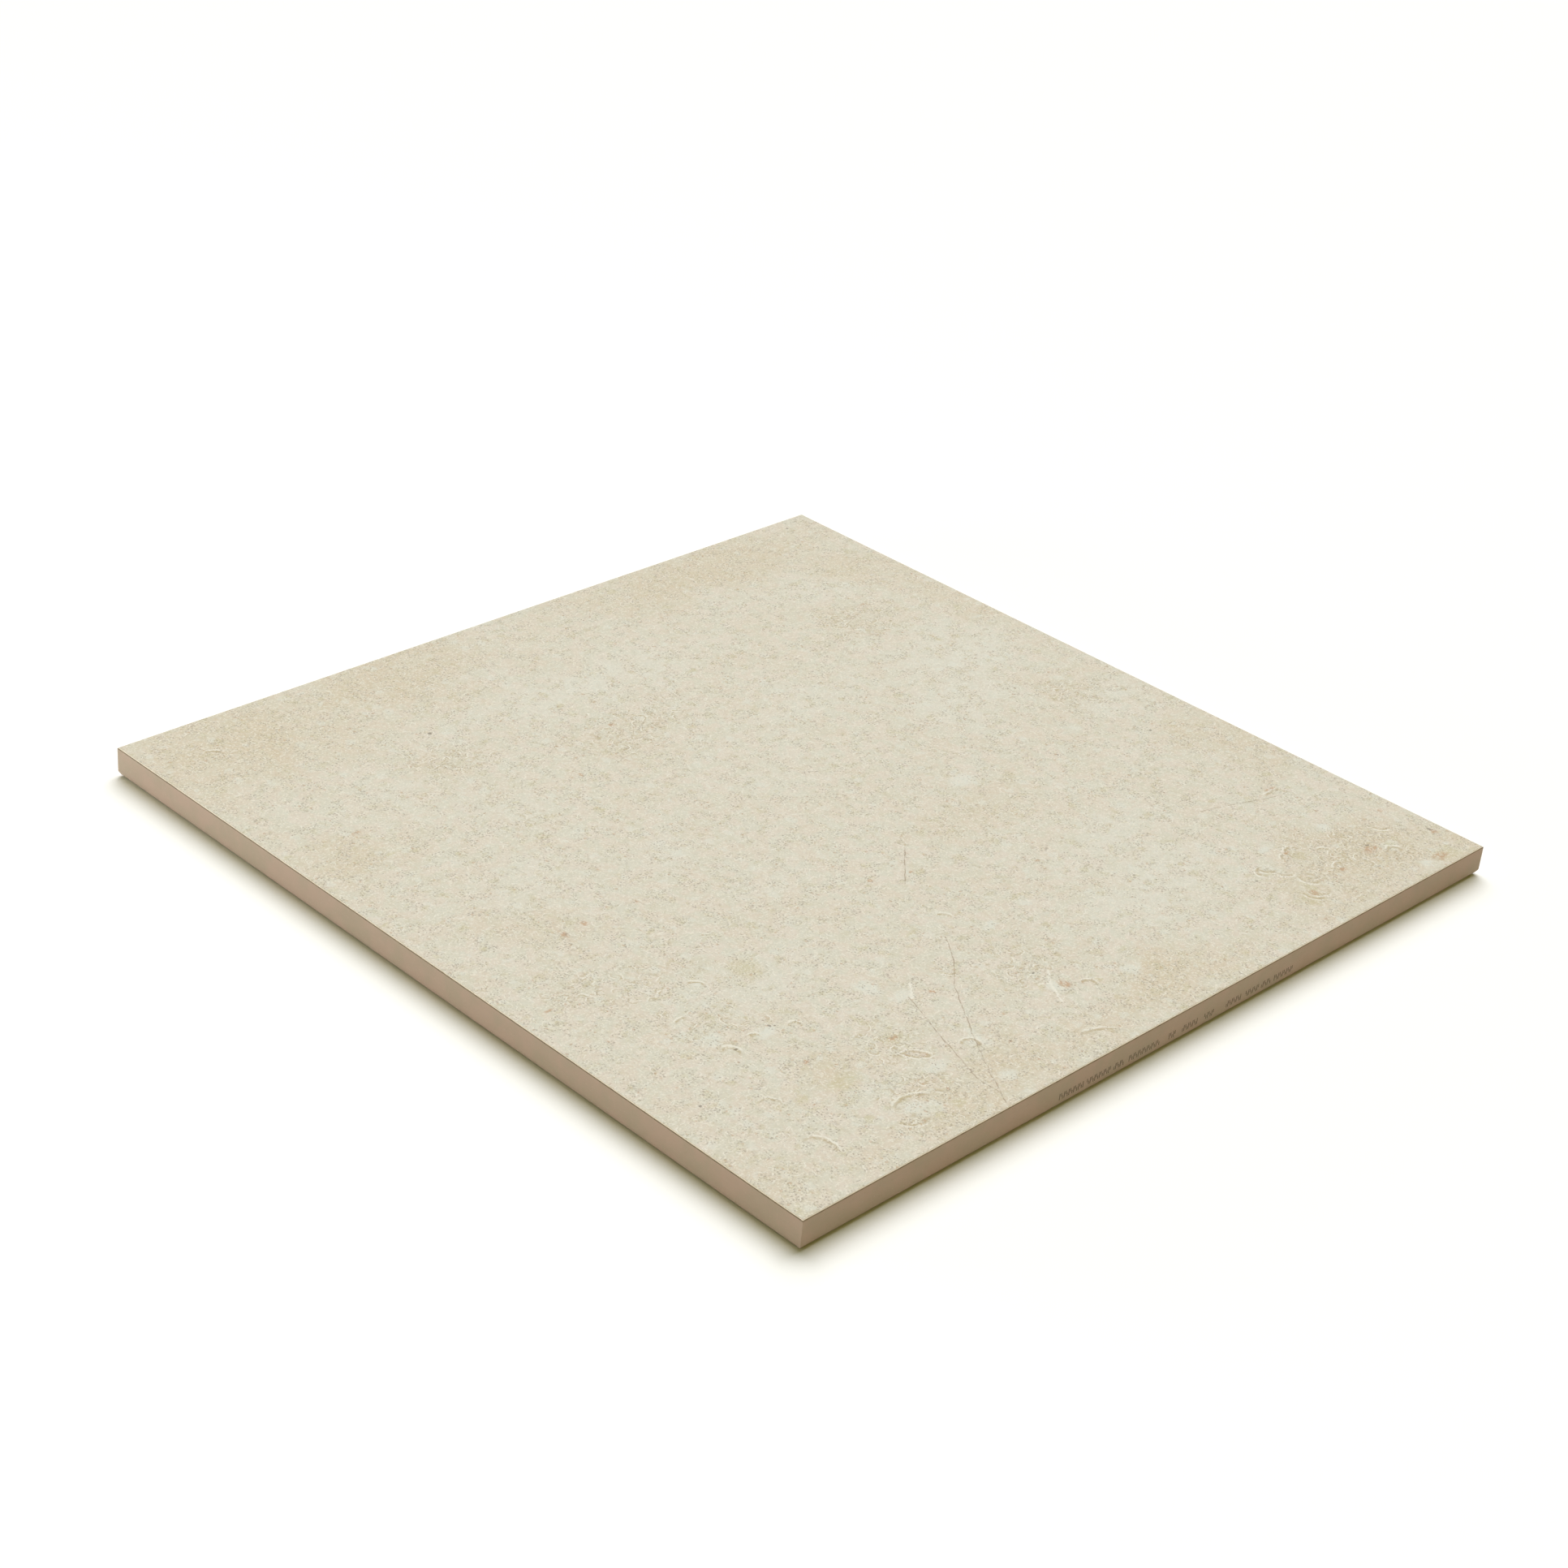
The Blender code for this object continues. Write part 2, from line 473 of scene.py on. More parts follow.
# %% Shells, cracks and spots on the face
SHELLS = [
    # centre, turn, radius, half length, width of the rim
    ((-241, -260), -76, 14, 12, 1.0), ((-181, -258), -10, 20, 14, 0.8), ((-146, -232), -42, 13, 12, 0.8),
    ((-151, -239), 138, 14, 12, 0.7), ((-50, -280), -23, 30, 12, 0.8), ((-113, -243), -45, 7, 8, 0.8),
    ((-15, -245), -45, 6, 6, 0.8), ((-222, -169), -55, 8, 7, 1.0), ((-205, -166), -20, 6, 4, 0.8),
    ((-197, -281), 150, 14, 10, 0.7), ((-238, -217), -60, 9, 7, 0.7), ((-194, -110), -45, 8, 6, 0.7),
    ((-228, -131), 5, 12, 5, 0.7), ((-178, -172), -40, 5, 5, 0.7), ((246, -174), 3, 40, 9, 0.8),
    ((253, -263), -30, 7, 7, 0.9), ((264, -249), 140, 9, 7, 0.8), ((-29, -147), -55, 10, 5, 0.8),
    ((161, -272), 120, 10, 8, 0.7), ((186, -228), 30, 7, 5, 0.7), ((-254, 262), -40, 12, 7, 0.9),
    ((-77, -193), 130, 9, 6, 0.6), ((163, -237), 135, 10, 7, 0.8), ((195, -224), 15, 8, 8, 0.9),
    ((157, -231), 60, 7, 7, 0.8), ((170, -247), 150, 8, 7, 0.8), ((173, -259), 115, 9, 8, 0.9),
    ((167, -273), 140, 10, 9, 0.9), ((206, -254), 10, 8, 6, 0.8), ((216, -238), -40, 7, 5, 0.7),
]
CRACKS = [
    [(-48, -165), (-55, -175), (-62, -184), (-81, -202), (-95, -221), (-102, -231), (-114, -248),
     (-130, -273), (-143, -296)],
    [(-111, -195), (-119, -217), (-125, -231), (-129, -244), (-139, -271), (-139, -287)],
    [(6, -82), (-4, -91), (-12, -99), (-24, -110)], [(188, -163), (214, -171), (239, -180), (258, -183)],
]
VEINS = [[(-27, -225), (-36, -234), (-45, -251)], [(-36, -234), (-43, -232)], [(-100, -186), (-111, -197)]]
RUSTY_SPOTS = [
    ((237, -258), (7.5, 5.5)), ((243, -259), (2.6, 2)), ((285, -233), (3.6, 2.6)), ((205, -262), (3.4, 3)),
    ((167, -268), (5, 4)), ((150, -290), (3, 2)), ((192, -228), (3.4, 2.6)), ((249, -173), (8, 1.5)),
    ((290, -270), (3, 4.5)), ((268, -290), (9, 6)), ((-30, -240), (5, 7)), ((-146, -238), (4, 2.4)),
    ((-98, -259), (1.8, 2.4)), ((-96, -199), (2.6, 3.4)), ((60, -141), (3.4, 2.4)), ((-11, -103), (2.4, 2)),
    ((-38, -95), (2.6, 2)), ((-221, -29), (3, 6)), ((-204, -28), (3, 3.6)), ((-88, 25), (2.2, 2)),
    ((-92, 103), (2.2, 3.2)), ((-33, 140), (3, 3)), ((228, 167), (2.2, 1.4)), ((-278, -82), (5, 1.8)),
    ((-246, 130), (4, 2.4)), ((-147, -217), (5, 3)), ((-201, -204), (3, 2.4)),
]
TAN_SPOTS = [
    ((-163, -118), (13, 15)), ((-150, -195), (3.4, 9)), ((-147, -218), (9, 6)), ((-199, -229), (15, 9)),
    ((-182, -259), (11, 3)), ((-180, -281), (4, 4)), ((-163, -281), (6, 5)), ((-228, -227), (7, 5)),
    ((-207, -167), (3.4, 2.4)), ((-44, -234), (3, 6)), ((-12, -250), (5, 3)), ((-64, -257), (3, 2.6)),
    ((163, -237), (6, 2.6)), ((160, -248), (2.6, 2.2)), ((162, -271), (12, 10)), ((253, -263), (6, 5)),
    ((274, -292), (16, 10)), ((264, -249), (4, 3)), ((208, -160), (2.8, 2.4)), ((44, -68), (3, 2)),
    ((-259, 117), (3, 2)), ((-245, 98), (3, 2.4)), ((-60, -150), (8, 2.6)), ((20, -160), (11, 3)),
    ((171, -262), (4, 9)), ((160, -274), (9, 4)), ((207, -160), (7, 3)), ((196, -236), (9, 5)),
]
PALE_SPOTS = [
    ((13, -254), (9, 8)), ((-123, -174), (9, 11)), ((-114, -192), (11, 7)), ((-186, -268), (9, 7)),
    ((-178, -276), (8, 7)), ((-227, -158), (9, 9)), ((-200, -171), (9, 6)), ((-148, -250), (12, 7)),
    ((-123, -280), (9, 7)), ((-37, -237), (6, 8)), ((236, -224), (8, 5)), ((184, -218), (9, 4)),
    ((253, -263), (9, 7)), ((284, -283), (4, 3)), ((254, -290), (7, 5)), ((97, -46), (14, 10)),
    ((-16, -172), (9, 3)), ((-113, -246), (7, 5)), ((-180, -274), (12, 7)), ((-20, -110), (5, 4)),
]
DARK_SPOTS = [
    ((-193, -167), (1.4, 1.4)), ((-134, 200), (1.9, 1.8)), ((220, 18), (1.0, 1.0)), ((273, 288), (1.2, 1.2)),
    ((248, -76), (1.4, 1.2)), ((-274, -198), (1.2, 1.2)), ((-223, -172), (2.0, 1.2)),
    ((-98, -259), (1.1, 1.2)), ((-36, -222), (1.2, 1.2)), ((150, -238), (1.4, 1.3)),
    ((290, -266), (1.2, 2.2)), ((241, -254), (1.6, 1.2)),
]


def placed_shells(tree, where):
    """The rims and the filled hollows of the listed shells, as two masks."""
    rims = hollows = 0.0
    for (x, y), turn, radius, half_length, width in SHELLS:
        drawn = place(tree, shell, Vector=where, Centre=(x, y, 0), Turn=math.radians(turn), Radius=radius,
                      Half_Length=half_length, Width=1.45 * width)
        rims = calc(tree, "MAXIMUM", rims, drawn["Rim"])
        hollows = calc(tree, "MAXIMUM", hollows, drawn["Hollow"])
    return rims, hollows


def line_marks(tree, where, lines, width):
    steps = [(a, b) for line in lines for a, b in zip(line, line[1:])]
    return join(tree, (
        place(tree, hairline, Vector=where, From=(*a, 0), To=(*b, 0), Width=width) for a, b in steps
    ))


def spots(tree, where, rows, core):
    return join(tree, (
        place(tree, patch, Vector=where, Centre=(*centre, 0), Reach=(*reach, 1000), Core=core)
        for centre, reach in rows
    ))


# %% [markdown]
# ## Mixing the face
#
# The colours go on as a decorator would print them: the cream ground, the clouds, the fine grain, the
# shells, then the dots and cracks. Real stone has no clean outlines, so the place on the face is nudged by
# a noise before the clouds and shells are drawn, a lot for the clouds and a little for the shells.

# %% The glaze material
glaze_paint, tree, shader, where = new_material("printed_glaze")
flat = vector(tree, "MULTIPLY", where, (1, 1, 0))


def nudged(tree, where, size, by, detail=3.0):
    """The same place moved about by a noise, in millimetres."""
    inputs = [("Vector", where), ("Scale", 1 / size), ("Detail", detail)]
    shift = add(tree, "ShaderNodeTexNoise", inputs).outputs["Color"]
    shift = scaled(tree, vector(tree, "SUBTRACT", shift, (0.5, 0.5, 0.5)), 2 * by)
    return vector(tree, "MULTIPLY", vector(tree, "ADD", where, shift), (1, 1, 0))


def moved(spot, x, y):
    """A noise read from here looks unlike the same noise read from the spot itself."""
    return vector(tree, "ADD", spot, (x, y, 0))


loose = nudged(tree, flat, 28, 42, 4.0)
close = nudged(tree, flat, 4, 1.6)
ragged = nudged(tree, flat, 5, 4.5)
warm = clouds(tree, loose, WARM_CLOUDS)
pale = clouds(tree, loose, PALE_CLOUDS)
busy = fade(tree, clouds(tree, loose, BUSY_CLOUDS), 0.0, 0.65)
coarse = place(tree, grain, Vector=flat, Size=34.0, Detail=5.0, Rough=0.6, Spread=0.16)
drift = place(tree, grain, Vector=flat, Size=13.0, Detail=3.0, Rough=0.55, Spread=0.09)
tint = place(tree, grain, Vector=moved(flat, 400, 0), Size=12.0, Detail=2.0, Rough=0.5, Spread=0.08)
middle = place(tree, grain, Vector=flat, Size=4.0, Detail=3.0, Rough=0.62, Spread=0.15)
fine = place(tree, grain, Vector=flat, Size=1.3, Detail=2.0, Rough=0.6, Spread=0.15)


def over(mask, strength, paint_on, gate=None):
    """Lays a colour over what is there. Where the gate is weak, less of it goes on."""
    amount = calc(tree, "MULTIPLY", mask, strength)
    if gate:
        amount = calc(tree, "MULTIPLY", amount, gate)
    return mix(tree, amount, colour, paint_on)


dirt = calc(tree, "MULTIPLY", calc(tree, "ADD", warm, busy), 0.35)
granular = fade(tree, calc(tree, "ADD", drift, dirt), 0.2, 1.0, 0.22, 1.0)
colour = mix(tree, tint, GREENISH, PINKISH)
warmth = calc(tree, "ADD", calc(tree, "MULTIPLY", warm, 0.75), calc(tree, "MULTIPLY", coarse, 0.3))
colour = over(warmth, 0.83, TAN, fade(tree, middle, 0.0, 1.0, 0.9, 1.05))
colour = over(pale, 0.85, PALE, fade(tree, drift, 0.0, 1.0, 1.0, 0.5))

# %% [markdown]
# Chips, blobs and the finest grain come next. The chips and blobs are read from places of their own in the
# noise, so that they don't line up with the grain. All but the chips are laid on through `granular`, which
# is strong in the dirtier layers of the stone and weak between them.

# %% Chips and grain on the face
chips = place(tree, grain, Vector=moved(flat, 0, 500), Size=3.2, Detail=2.0, Spread=0.14)
colour = over(fade(tree, chips, 0.72, 0.98), 0.25, CHIP_WHITE)
blobs = place(tree, grain, Vector=moved(flat, 0, 900), Size=6.0, Detail=3.0, Spread=0.12)
colour = over(fade(tree, blobs, 0.75, 1.0), 0.42, OLIVE, granular)
colour = over(fade(tree, fine, 0.55, 1.0), 0.28, DULL, granular)
colour = over(fade(tree, fine, 0.4, 0.0), 0.3, BRIGHT, granular)

# %% [markdown]
# The fragments are scattered arcs of three sizes, with brown and pale threads between them. The largest
# lie only in the busy clouds, where a darker crust of broken threads joins them.

# %% Fragments on the face
small = place(tree, flecks, Vector=close, Spacing=9.0, Radius=3.0, Half_Length=2.8, Width=0.5, Share=0.45)
tiny = place(tree, flecks, Vector=moved(close, 31, 17), Spacing=4.5, Radius=4.0,
             Half_Length=1.6, Width=0.45, Share=0.5)
colour = over(calc(tree, "MAXIMUM", small["Hollow"], tiny["Hollow"]), 0.5, DULL, granular)
colour = over(calc(tree, "MAXIMUM", small["Rim"], tiny["Rim"]), 0.75, SHELL_WHITE)
seams = place(tree, threads, Vector=flat, Size=5.0, Width=0.045, Broken=0.5)
colour = over(seams, 0.3, BROWN, granular)
crust = place(tree, threads, Vector=moved(close, 70, 210), Size=6.0, Width=0.06, Broken=0.45)
colour = over(crust, 0.62, SHELL_FILL, busy)
large = place(tree, flecks, Vector=moved(close, 11, 47), Spacing=9.0, Radius=4.0,
              Half_Length=3.6, Width=0.65, Share=0.8)
colour = over(large["Hollow"], 0.65, SHELL_FILL, busy)
colour = over(large["Rim"], 0.95, SHELL_WHITE, busy)
pale_seams = place(tree, threads, Vector=moved(flat, 250, 130), Size=3.4, Width=0.045, Broken=0.5)
colour = over(pale_seams, 0.4, BRIGHT)

# %% [markdown]
# The marks with places of their own are drawn over the fragments, with a few scattered pale and tan pieces
# among them. `broken` wears most of them away here and there, so that they have no clean outline.

# %% Placed marks on the face
broken = fade(tree, middle, 0.15, 0.6, 0.6, 1.0)
rims, hollows = placed_shells(tree, close)
pale_clasts = place(tree, face_speckle, Vector=ragged, Spacing=14.0, Size=3.0, Share=0.3)
colour = over(pale_clasts, 0.5, CHIP_WHITE, broken)
colour = over(spots(tree, ragged, PALE_SPOTS, 0.4), 0.75, CHIP_WHITE, broken)
tan_clasts = place(tree, face_speckle, Vector=moved(ragged, 80, 20), Spacing=17.0, Size=3.4, Share=0.4)
colour = over(tan_clasts, 0.45, OLIVE, calc(tree, "MULTIPLY", granular, broken))
colour = over(spots(tree, ragged, TAN_SPOTS, 0.3), 0.7, OLIVE, fade(tree, fine, 0.0, 0.8, 0.4, 1.0))
colour = over(hollows, 0.85, SHELL_FILL, broken)
colour = over(rims, 1.0, SHELL_WHITE, broken)
colour = over(line_marks(tree, nudged(tree, flat, 5, 1.6), VEINS, 1.4), 0.9, SHELL_WHITE)
colour = over(spots(tree, close, RUSTY_SPOTS, 0.3), 0.75, RUST, fade(tree, middle, 0.1, 0.7, 0.3, 1.0))

# %% [markdown]
# Dots, pits and cracks are the last of the print. The arris comes after them: the wheel has cut through
# the print there, so everything lower than the face is cream, and it is painted much lighter than the face
# as a painted highlight along the edge.

# %% Dots, cracks and the arris
light_dots = place(tree, face_speckle, Vector=close, Spacing=2.0, Size=0.6, Share=0.7)
colour = over(light_dots, 0.6, BRIGHT)
brown_dots = place(tree, face_speckle, Vector=moved(close, 9, 5), Spacing=1.9, Size=0.55, Share=0.65)
colour = over(brown_dots, 0.65, BROWN, granular)
rust_dots = place(tree, face_speckle, Vector=moved(close, 70, 40), Spacing=6.0, Size=0.8, Share=0.4)
colour = over(rust_dots, 0.45, RUST, granular)
colour = over(spots(tree, close, DARK_SPOTS, 0.5), 0.6, PIT)
pits = place(tree, face_speckle, Vector=flat, Spacing=24.0, Size=0.5, Share=0.25)
colour = over(pits, 0.55, PIT)
crack_mask = line_marks(tree, nudged(tree, flat, 7, 1.3), CRACKS, 0.6)
colour = over(crack_mask, 0.7, CRACK, fade(tree, middle, 0.1, 0.6, 0.35, 1.0))
ARRIS_BEGINS = 0.06
ARRIS_FULL = 0.2
height = add(tree, "ShaderNodeSeparateXYZ", [("Vector", where)]).outputs["Z"]
# Partly the cream under the print and partly a painted highlight: this colour skips the studio gain.
colour = over(fade(tree, height, TOP / MM - ARRIS_BEGINS, TOP / MM - ARRIS_FULL), 0.9, ARRIS_CREAM_AND_HIGHLIGHT)

# %% [markdown]
# The glaze is matt. A very shallow relief and an uneven roughness keep its shine broken up.

# %% The glaze's relief and shine
relief = calc(tree, "ADD", fine, calc(tree, "MULTIPLY", middle, 2.0))
surface(tree, shader, colour, (middle, 0.56, 0.7), (relief, 0.35, 0.04))
shader.inputs["Specular IOR Level"].default_value = 0.35
print("glaze nodes:", len(tree.nodes))

# %% [markdown]
# ## The pressed body
#
# Under the glaze the paver is one even pinkish clay. Grinding leaves fine lines along the sides. They are
# a noise stretched in a long thin way: the place is squeezed along X and Y but not along Z. Small pale and
# dark grains of unmelted mineral break up the colour.

# %% The stoneware material
CLAY = (0.472, 0.345, 0.263, 1.0)
CLAY_PINK = (0.495, 0.35, 0.27, 1.0)
CLAY_OLIVE = (0.443, 0.343, 0.252, 1.0)
CLAY_LIGHT = (0.60, 0.49, 0.37, 1.0)
CLAY_DARK = (0.30, 0.21, 0.14, 1.0)

stoneware, tree, shader, where = new_material("stoneware")
blotch = place(tree, grain, Vector=where, Size=17.0, Detail=4.0, Rough=0.55, Spread=0.12)
mottle = place(tree, grain, Vector=where, Size=4.0, Detail=4.0, Rough=0.6, Spread=0.2)
stretched = vector(tree, "MULTIPLY", where, (0.03, 0.03, 3.0))
lines = place(tree, grain, Vector=stretched, Size=1.0, Detail=3.0, Rough=0.6, Spread=0.22)
colour = mix(tree, blotch, CLAY_OLIVE, CLAY_PINK)
colour = mix(tree, fade(tree, mottle, 0.0, 1.0, 0.0, 0.5), colour, CLAY)
colour = mix(tree, fade(tree, lines, 0.4, 1.0, 0.0, 0.10), colour, CLAY_LIGHT)
light_grains = place(tree, body_speckle, Vector=where, Spacing=1.5, Size=0.3, Share=0.3)
colour = mix(tree, calc(tree, "MULTIPLY", light_grains, 0.3), colour, CLAY_LIGHT)
dark_grains = place(tree, body_speckle, Vector=where, Spacing=2.2, Size=0.35, Share=0.3)
colour = mix(tree, calc(tree, "MULTIPLY", dark_grains, 0.35), colour, CLAY_DARK)
relief = calc(tree, "ADD", lines, calc(tree, "MULTIPLY", mottle, 0.6))
surface(tree, shader, colour, (lines, 0.62, 0.78), (relief, 0.3, 0.04))
shader.inputs["Specular IOR Level"].default_value = 0.3
print("stoneware nodes:", len(tree.nodes))

# %% [markdown]
# ## Slip, kiln wash and ink
#
# The slip shows only as a thin line between glaze and clay. Its dark brown is painted shade, the dark line
# under the arris, and a noise makes it darker in places.
# The kiln wash is a chalky white coat rolled onto the back, worn thin in places so that the clay shows
# through. The ink on the side is thin brown paint that soaks in unevenly.

# %% The three thin coats
# The slip's two browns are painted shade: the real slip is pale, and these draw the dark line under the
# arris.
SLIP_SHADE_DARK, SLIP_SHADE_LIGHT = (0.20, 0.14, 0.085, 1.0), (0.30, 0.22, 0.14, 1.0)
WASH_SHADE, WASH_WHITE, WASH_WORN = (0.60, 0.57, 0.51, 1.0), (0.74, 0.72, 0.67, 1.0), (0.50, 0.40, 0.30, 1.0)
INK_DARK, INK_LIGHT = (0.03, 0.019, 0.011, 1.0), (0.07, 0.045, 0.028, 1.0)

# Painted shade: the slip material is dark brown to draw the shade line under the arris.
engobe, tree, shader, where = new_material("engobe")
mottle = place(tree, grain, Vector=where, Size=3.0, Detail=3.0, Rough=0.6, Spread=0.2)
surface(tree, shader, mix(tree, mottle, SLIP_SHADE_DARK, SLIP_SHADE_LIGHT), (mottle, 0.7, 0.85))

wash_paint, tree, shader, where = new_material("kiln_wash")
worn = place(tree, grain, Vector=where, Size=16.0, Detail=6.0, Rough=0.68, Spread=0.14)
powder = place(tree, grain, Vector=where, Size=1.2, Detail=2.0, Rough=0.6, Spread=0.25)
colour = mix(tree, powder, WASH_SHADE, WASH_WHITE)
colour = mix(tree, fade(tree, worn, 0.55, 1.0, 0.0, 0.75), colour, WASH_WORN)
surface(tree, shader, colour, (powder, 0.86, 0.98), (powder, 0.5, 0.05))

ink, tree, shader, where = new_material("edge_ink")
soak = place(tree, grain, Vector=where, Size=0.8, Detail=2.0, Rough=0.6, Spread=0.2)
surface(tree, shader, mix(tree, soak, INK_DARK, INK_LIGHT), (soak, 0.5, 0.7))
print("materials:", [m.name for m in (glaze_paint, stoneware, engobe, wash_paint, ink)])

# %% [markdown]
# ## Making the pieces
#
# `along_side` gives the places of the points along one side of the square, from corner to corner, so that
# every layer's outline is divided in the same way.

# %% Piece helpers
SHARP = math.radians(28)
SIDE_STEPS = 240
along_side = np.linspace(-1.0, 1.0, SIDE_STEPS + 1)
EVEN = [i / SIDE_STEPS for i in range(SIDE_STEPS)]


def finish_piece(name, mesh, material, node=None):
    mesh.materials.append(material)
    mesh.shade_smooth()
    mesh.set_sharp_from_angle(angle=SHARP)
    obj = bpy.data.objects.new(name, mesh)
    bpy.context.scene.collection.objects.link(obj)
    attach(obj, "root")
    if node:
        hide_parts(node)
    print(f"{name}: {len(mesh.polygons)} faces")
    return obj


def square_loop(half, height, shares=EVEN, wear=None):
    """Points round a square, anticlockwise from its front left corner. wear(x, y) moves a point inwards.

    shares are the places of one side's points, from 0 at its start to 1 at its end.
    """
    corners = [(-1, -1), (1, -1), (1, 1), (-1, 1), (-1, -1)]
    points = []
    for (x0, y0), (x1, y1) in zip(corners, corners[1:]):
        for t in shares:
            x, y = x0 + (x1 - x0) * t, y0 + (y1 - y0) * t
            inner = half - (wear(x * half, y * half) if wear else 0.0)
            points.append((x * inner, y * inner, height))
    return points


# %% [markdown]
# ## Wear on the arris
#
# A grinding wheel leaves the arris nearly straight, with a chip here and there where a grain broke out.
# The wear is a noise along the edge. Most of it stays under a few hundredths of a millimetre, and only its
# peaks bite.

# %% Arris wear
CHIP_REACH = 0.25 * MM


def arris_wear(x, y):
    ripple = 0.03 * MM * noise.noise(Vector((x, y, 0.0)) / (9 * MM))
    peak = noise.noise(Vector((x, y, 0.5)) / (3.1 * MM))
    return max(0.0, 0.02 * MM + ripple + CHIP_REACH * max(0.0, peak - 0.42) * 2)


print("deepest chip sampled:", round(max(arris_wear(t * HALF, -HALF) for t in along_side) / MM, 3), "mm")

# %% [markdown]
# ## The glazed face
#
# The face is a grid of points whose height is worked out one by one: nearly level in the middle, with a
# very slight swell like a real fired slab, and falling away over the arris at the rim. The fall starts
# gently and then runs at 45 degrees. The grid is closed below by one flat face, so that the glaze is a
# true solid.

# %% The printed_glaze piece
SHOULDER = 0.3 * MM
RIM_INSET = 0.25 * MM
SWELL = 0.03 * MM


def fall(distance):
    """How far the surface has dropped at a distance past the start of the arris."""
    if distance <= 0:
        return 0.0
    return distance**2 / (2 * SHOULDER) if distance < SHOULDER else distance - SHOULDER / 2


def swell(x, y):
    place_on_face = Vector((x, y, 0.0))
    return SWELL * (noise.fractal(place_on_face / 0.06, 0.9, 2.0, 4) + 0.6 * noise.noise(place_on_face / 0.3))


depth = TOP - GLAZE_SEAM
run_out = depth + SHOULDER / 2
flat_half = HALF - RIM_INSET - run_out
rim_offsets = [run_out * share for share in (0.18, 0.36, 0.6, 1.0)]
rim_lines = [flat_half + offset for offset in rim_offsets]
lines = [*(-line for line in reversed(rim_lines)), *(along_side * flat_half), *rim_lines]
count = len(lines)
points, faces = [], []
for y in lines:
    for x in lines:
        edge = max(abs(x), abs(y)) - flat_half
        drop = fall(edge)
        level = TOP - drop + swell(x, y) * max(0.0, 1 - drop / depth)
        level -= SWELL * (1 - drop / depth)
        bite = 1 - arris_wear(x, y) * min(1.0, max(0.0, edge) / run_out) / HALF
        points.append((x * bite, y * bite, level if drop else min(TOP, level)))
for j in range(count - 1):
    for i in range(count - 1):
        a = j * count + i
        faces.append((a, a + 1, a + count + 1, a + count))
last = (count - 1) * count
ring = [*range(count)] + [j * count + count - 1 for j in range(1, count)]
ring += [last + i for i in range(count - 2, -1, -1)] + [j * count for j in range(count - 2, 0, -1)]
faces.append(tuple(reversed(ring)))
mesh = bpy.data.meshes.new("glaze")
mesh.from_pydata(points, [], faces)

# %% [markdown]
# A map for baking gives nearly all of the sheet to the face that is seen, and tucks the hidden underside
# into a corner.

# %% The face's map
FACE_SHARE, FACE_CORNER = 0.96, 0.005
HIDDEN_SHARE, HIDDEN_CORNER = 0.015, 0.98
face_map = mesh.uv_layers.new(name="OFBake")
hidden = len(faces) - 1
for polygon in mesh.polygons:
    for corner in polygon.loop_indices:
        x, y, _ = mesh.vertices[mesh.loops[corner].vertex_index].co
        u, v = x / (2 * HALF) + 0.5, y / (2 * HALF) + 0.5
        size, start = (HIDDEN_SHARE, HIDDEN_CORNER) if polygon.index == hidden else (FACE_SHARE, FACE_CORNER)
        face_map.data[corner].uv = (start + u * size, start + v * size)
face = finish_piece("glazed_face", mesh, glaze_paint, "printed_glaze")

# %% [markdown]
# ## The slip
#
# Stacked outlines, joined ring to ring and closed top and bottom, make the two solid layers below the
# glaze.

# %% The engobe_coat piece
def join_loops(bm, first, second):
    """One band of four-sided faces between two closed loops with the same number of points."""
    for i in range(len(first)):
        j = (i + 1) % len(first)
        bm.faces.new((first[i], first[j], second[j], second[i]))


def stack(rings, cap_low=True):
    """Joins outlines of the same number of points, lowest first, and closes the top."""
    bm = bmesh.new()
    rows = [[bm.verts.new(p) for p in ring] for ring in rings]
    for lower, upper in zip(rows, rows[1:]):
        join_loops(bm, lower, upper)
    if cap_low:
        bm.faces.new(list(reversed(rows[0])))
    bm.faces.new(rows[-1])
    return bm, rows


def to_mesh(name, bm):
    bmesh.ops.recalc_face_normals(bm, faces=bm.faces)
    mesh = bpy.data.meshes.new(name)
    bm.to_mesh(mesh)
    bm.free()
    return mesh


slip_profile = [(0.0, ENGOBE_SEAM), (0.04 * MM, GLAZE_SEAM - 0.27 * MM), (0.12 * MM, GLAZE_SEAM - 0.14 * MM),
                (RIM_INSET, GLAZE_SEAM)]
rings = [square_loop(HALF - inset, z, wear=arris_wear) for inset, z in slip_profile]
bm, _ = stack(rings)
# This piece carries the painted shade line under the arris.
slip = finish_piece("slip_shade_line", to_mesh("slip", bm), engobe, "engobe_coat")

# %% [markdown]
# ## The body and its keyed back
#
# The press leaves a soft bevel round the foot and a grid of shallow pockets in the back, which grip the
# mortar. Each pocket is a set of rounded-square outlines, one inside the other: the mouth, a softened lip,
# the foot of the wall and the roof. The level crest between the pockets is made of square cells, one round
# each pocket. A cell's outline has a point for each point of the mouth, so a band of four-sided faces
# joins them, and cells that meet share their points. One more band joins the block of cells to the foot of
# the sides.

# %% Pocket outlines
POCKETS = 12
POCKET_PITCH = 46 * MM
POCKET_HALF = 19 * MM
POCKET_ROUND = 3.5 * MM
# Each outline is an inset and a rise, in millimetres.
POCKET_RINGS = [(0.0, 0.0), (0.25, 0.07), (0.55, 0.45), (0.9, 0.9), (1.7, 1.1)]
CORNER_STEPS = 4
FLAT_STEPS = 5
CELL_HALF = POCKET_PITCH / 2
CELL_CORNER = CELL_HALF - POCKET_HALF + POCKET_ROUND
BLOCK_HALF = POCKETS * CELL_HALF
pocket_places = [(i - (POCKETS - 1) / 2) * POCKET_PITCH for i in range(POCKETS)]
pocket_centres = [(x, y) for x in pocket_places for y in pocket_places]


